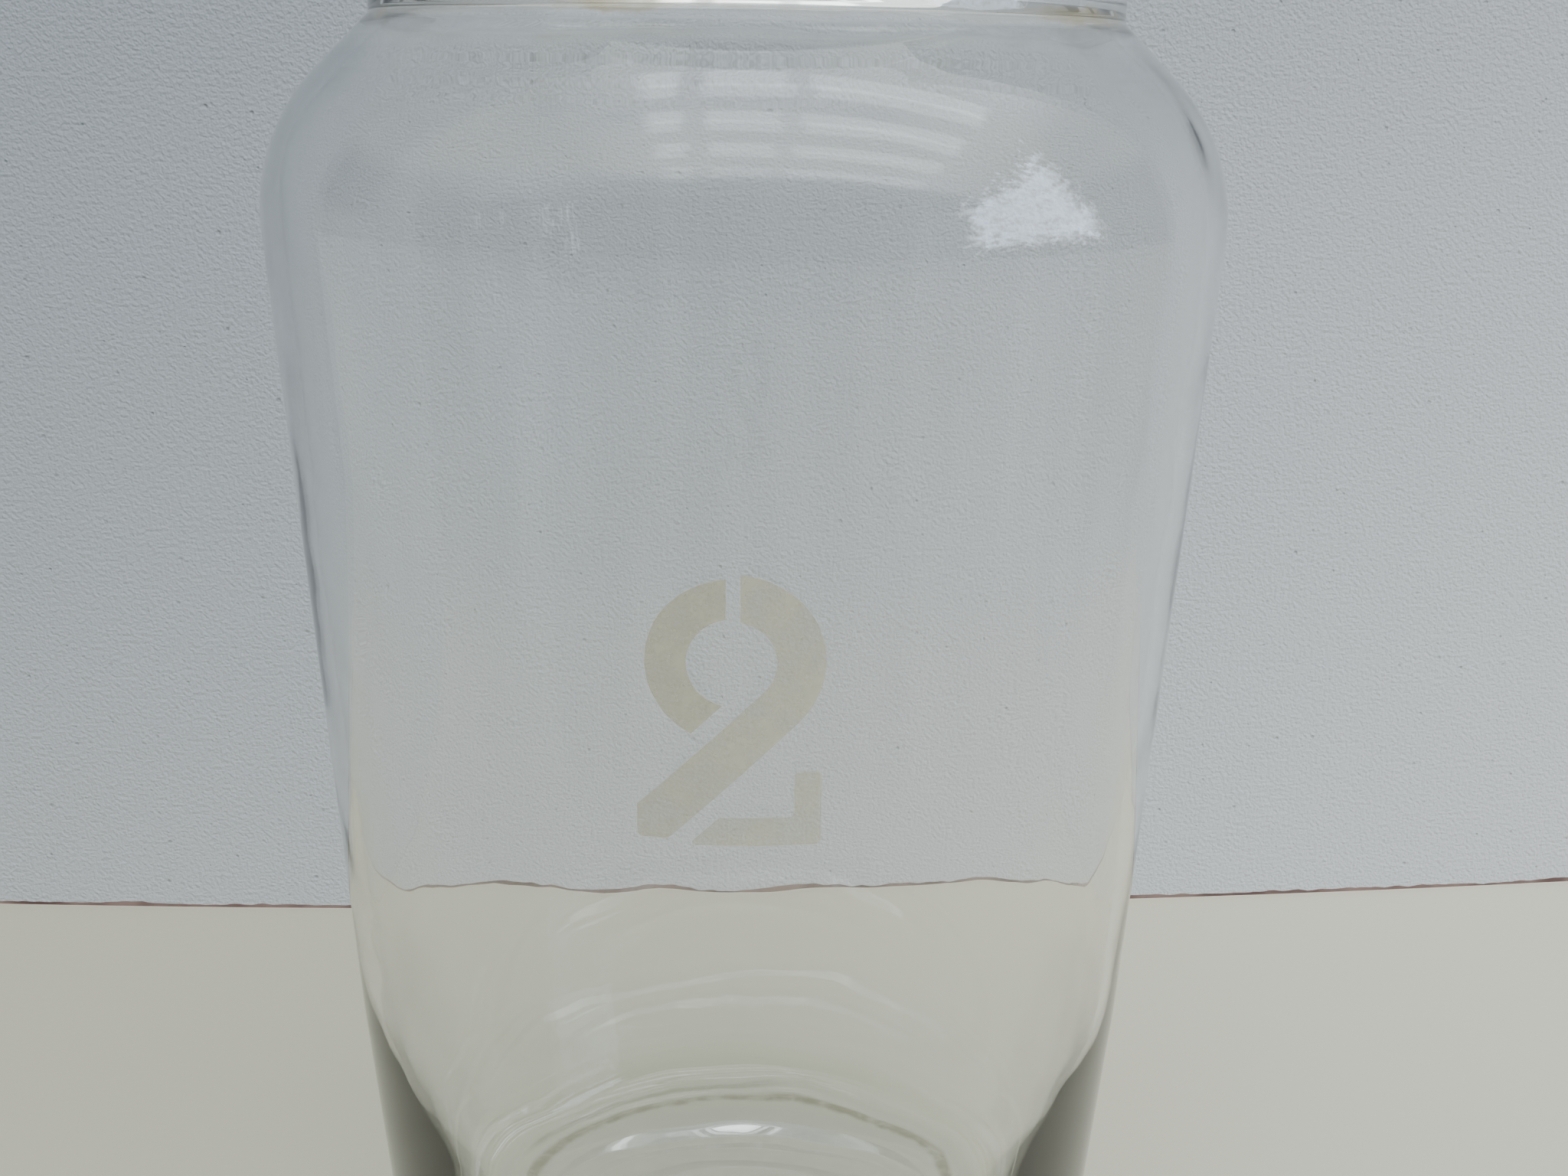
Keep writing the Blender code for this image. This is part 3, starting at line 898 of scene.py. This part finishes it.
def wall_material():
    """Rolled wall paint with a few pits and pimples, painted shade in the pits, less lit higher up and to
    the left.
    """
    material, tree, out = new_material("painted_wall")
    _, x, _, z, _ = tree.place()
    shader = matt_shader(tree)
    height = tree.maths("MULTIPLY_ADD", x, WALL_FALL_ACROSS, z)
    colour = tree.mix(tree.ramp(height, WALL_BRIGHT, WALL_DIM), WALL_COLOUR, WALL_COLOUR_2)
    flat = tree.add("CombineXYZ")
    tree.put(flat, 0, x)
    tree.put(flat, 1, z)
    spots = tree.add("TexVoronoi", voronoi_dimensions="2D")
    tree.put(spots, "Vector", flat.outputs[0])
    tree.put(spots, "Scale", WALL_PITS)
    chance, width, _ = tree.put(tree.add("SeparateColor"), 0, spots.outputs["Color"]).outputs
    width = tree.maths("MULTIPLY_ADD", width, 0.050, 0.012)
    dot = tree.ramp(tree.maths("DIVIDE", spots.outputs["Distance"], width), 0.3, 1.3, 1.0, 0.0)
    dots = tree.maths("MULTIPLY", dot, tree.maths("MULTIPLY_ADD", chance, 1.2, -0.8))
    roller = tree.noise(flat.outputs[0], WALL_GRAIN, 1.0, 0.6)
    # Painted shade in the pits.
    pit_shade = tree.maths("MULTIPLY", dot, tree.ramp(chance, 0.70, 0.60, 0.0, 0.22))
    tree.put(shader, "Base Color", tree.mix(pit_shade, colour, WALL_PIT_SHADE_COLOUR))
    tree.bump(shader, tree.maths("ADD", roller, dots), 0.0005, 0.8)
    one_sided(tree, shader, out)
    return material


def gap_shade_material():
    """Painted shade: a dark strip for the shadow in the gap where the floor meets the backdrop."""
    material, tree, out = new_material("wall_foot_gap_shade")
    shader = matt_shader(tree)
    tone = tree.ramp(tree.noise(tree.place()[0], 60.0, 3.0), 0.35, 0.65)
    tree.put(shader, "Base Color", tree.mix(tone, GAP_SHADE_COLOUR, GAP_SHADE_COLOUR_2))
    one_sided(tree, shader, out)
    return material


def floor_material():
    """A smooth pale floor with painted light: lighter at the right and darker far away."""
    material, tree, out = new_material("pale_floor")
    vector, x, _, _, reach = tree.place()
    shader = tree.add("BsdfPrincipled")
    shader.inputs["Specular IOR Level"].default_value = 0.25
    fine = tree.noise(vector, 900.0, 1.0)
    # Painted light: shaded at the left, lit at the right.
    near = tree.mix(tree.ramp(x, *FLOOR_ACROSS), FLOOR_SHADED_COLOUR, FLOOR_LIT_COLOUR)
    colour = tree.mix(tree.ramp(reach, *FLOOR_FALL), near, FLOOR_FAR_COLOUR)
    tree.put(shader, "Base Color", colour)
    tree.put(shader, "Roughness", tree.ramp(fine, 0.3, 0.7, 0.50, 0.62))
    tree.bump(shader, fine, 0.0001, 0.15)
    tree.put(out, "Surface", shader.outputs[0])
    return material


def line_height(x):
    """The line's height at x: ragged, but never gone."""
    broad = noise.noise(Vector((x * 55, 0, 0)))
    fine = noise.noise(Vector((x * 300, 7, 0)))
    return LINE_HEIGHT * max(0.25, min(1.6, 0.95 + 0.9 * broad + 0.5 * fine))


ways = ((-1, -1), (1, -1), (1, 1), (-1, 1))
floor_corners = [(x * FLOOR_REACH, y * FLOOR_REACH, FLOOR_LEVEL) for x, y in ways]
floor = stage_mesh("floor", floor_corners, [(0, 1, 2, 3)])
floor.data.materials.append(floor_material())

wall_xs = np.linspace(WALL_LEFT, WALL_RIGHT, WALL_PARTS + 1).tolist()
wall = upright_strip("backdrop", wall_xs, [WALL_HEIGHT] * len(wall_xs), 0.0)
wall.data.shade_smooth()
wall.data.materials.append(wall_material())

line_xs = np.linspace(LINE_LEFT, LINE_RIGHT, LINE_PARTS + 1).tolist()
# A thin strip of painted shade for the shadow where floor and backdrop meet.
line = upright_strip("backdrop_foot_gap_shade", line_xs, [line_height(x) for x in line_xs], LINE_FORWARD)
line.data.materials.append(gap_shade_material())


# ------------------------------------------------------------------ light


def skylight(tree, x, y, z):
    """A skylight's bright slats, and the pale ceiling round it, for a direction."""
    up = tree.maths("MAXIMUM", z, 0.02)
    ahead = tree.maths("DIVIDE", y, tree.maths("MULTIPLY", up, -1.0))
    spread = tree.maths("MULTIPLY_ADD", ahead, SKYLIGHT_SPREAD, 1.0)
    across = tree.maths("DIVIDE", x, tree.maths("MULTIPLY", up, spread))
    slats = tree.maths("MULTIPLY", tree.steps(ahead, SKYLIGHT_ROWS), tree.steps(across, SKYLIGHT_COLUMNS))
    ceiling = tree.maths("MULTIPLY", tree.steps(ahead, CEILING_DEPTH), tree.steps(across, CEILING_WIDTH))
    return slats, tree.maths("MULTIPLY", ceiling, tree.ramp(z, *CEILING_START))


def ragged_window(tree, way, azimuth, z):
    """A bright four-sided window at the right, its outline broken up as if by leaves."""
    ragged = tree.noise(way, 24.0, 3.0, 0.70)
    shift = tree.maths("MULTIPLY_ADD", ragged, 0.50, -0.25)
    left = tree.maths("SUBTRACT", azimuth, WINDOW_LEFT)
    top = tree.maths("MULTIPLY_ADD", left, WINDOW_TOP_SLOPE, WINDOW_TOP)
    right = tree.maths("MULTIPLY_ADD", z, WINDOW_LEAN, WINDOW_RIGHT)
    sides = (
        tree.maths("ADD", tree.maths("SUBTRACT", top, z), shift),
        tree.maths("MULTIPLY_ADD", shift, 0.5, tree.maths("SUBTRACT", right, azimuth)),
        tree.maths("MULTIPLY_ADD", shift, 0.4, left),
        tree.maths("MULTIPLY_ADD", shift, 0.6, tree.maths("SUBTRACT", z, WINDOW_FOOT)),
    )
    inside = sides[0]
    for side in sides[1:]:
        inside = tree.maths("MINIMUM", inside, side)
    return tree.maths("MULTIPLY", tree.ramp(inside, -0.01, 0.09), tree.ramp(ragged, 0.36, 0.60, 0.40, 1.0))


def room_world():
    """A soft pale room with a slatted skylight and a window, which only light up the scene.

    The glass mirrors them. Behind the scene itself there is nothing but a plain pale backdrop.
    """
    world = bpy.data.worlds.new("room")
    tree = Tree(world)
    way = tree.add("TexCoord").outputs["Generated"]
    x, y, z = tree.put(tree.add("SeparateXYZ"), 0, way).outputs
    azimuth = tree.maths("ARCTAN2", x, tree.maths("MULTIPLY", y, -1.0))
    slats, ceiling = skylight(tree, x, y, z)
    window = ragged_window(tree, way, azimuth, z)
    dark_side = tree.maths("MULTIPLY", tree.band(azimuth, *DARK_SIDE), tree.ramp(z, *DARK_SIDE_START))
    light = tree.maths("MULTIPLY_ADD", dark_side, -DARK_SIDE_DEPTH, ROOM_LEVEL)
    light = tree.maths("ADD", light, ceiling)
    light = tree.maths("MULTIPLY_ADD", slats, SKYLIGHT_STRENGTH, light)
    light = tree.maths("MULTIPLY_ADD", window, WINDOW_STRENGTH, light)
    room = tree.add("Background")
    tree.put(room, "Color", tree.mix(window, ROOM_TINT, WINDOW_TINT))
    tree.put(room, "Strength", tree.maths("MULTIPLY", light, WORLD_STRENGTH))
    plain = tree.add("Background")
    plain.inputs["Color"].default_value = PLAIN_COLOUR
    seen = tree.add("LightPath").outputs["Is Camera Ray"]
    tree.put(tree.add("OutputWorld"), "Surface", tree.switched(seen, room.outputs[0], plain.outputs[0]))
    bpy.context.scene.world = world


def soft_light(name, place, target, size, power):
    """A large soft lamp that lights the room but isn't mirrored in the glass."""
    lamp = bpy.data.lights.new(name, "AREA")
    lamp.shape = "RECTANGLE"
    lamp.size, lamp.size_y = size
    lamp.energy = power
    obj = bpy.data.objects.new(name, lamp)
    obj.location = place
    obj.rotation_mode = "QUATERNION"
    obj.rotation_quaternion = (Vector(target) - Vector(place)).to_track_quat("-Z", "Y")
    obj.visible_glossy = False
    obj.visible_transmission = False
    obj.visible_camera = False
    bpy.context.scene.collection.objects.link(obj)


room_world()
soft_light("key", (0.5, -0.9, 1.5), (0, 0, 0.05), (1.2, 1.2), 12.0)
soft_light("fill", (-0.6, -0.5, 1.3), (0, 0, 0.05), (1.0, 1.0), 5.5)

camera = bpy.data.objects.new("camera", bpy.data.cameras.new("camera"))
bpy.context.scene.collection.objects.link(camera)
camera.data.sensor_width = SENSOR
camera.data.lens = SENSOR * FOCAL_SHARE
camera.data.clip_start = NEAREST
camera.matrix_world = (
    Matrix.Translation(EYE)
    @ Matrix.Rotation(math.pi / 2 - EYE_PITCH, 4, "X")
    @ Matrix.Rotation(EYE_ROLL, 4, "Z")
)
bpy.context.scene.camera = camera
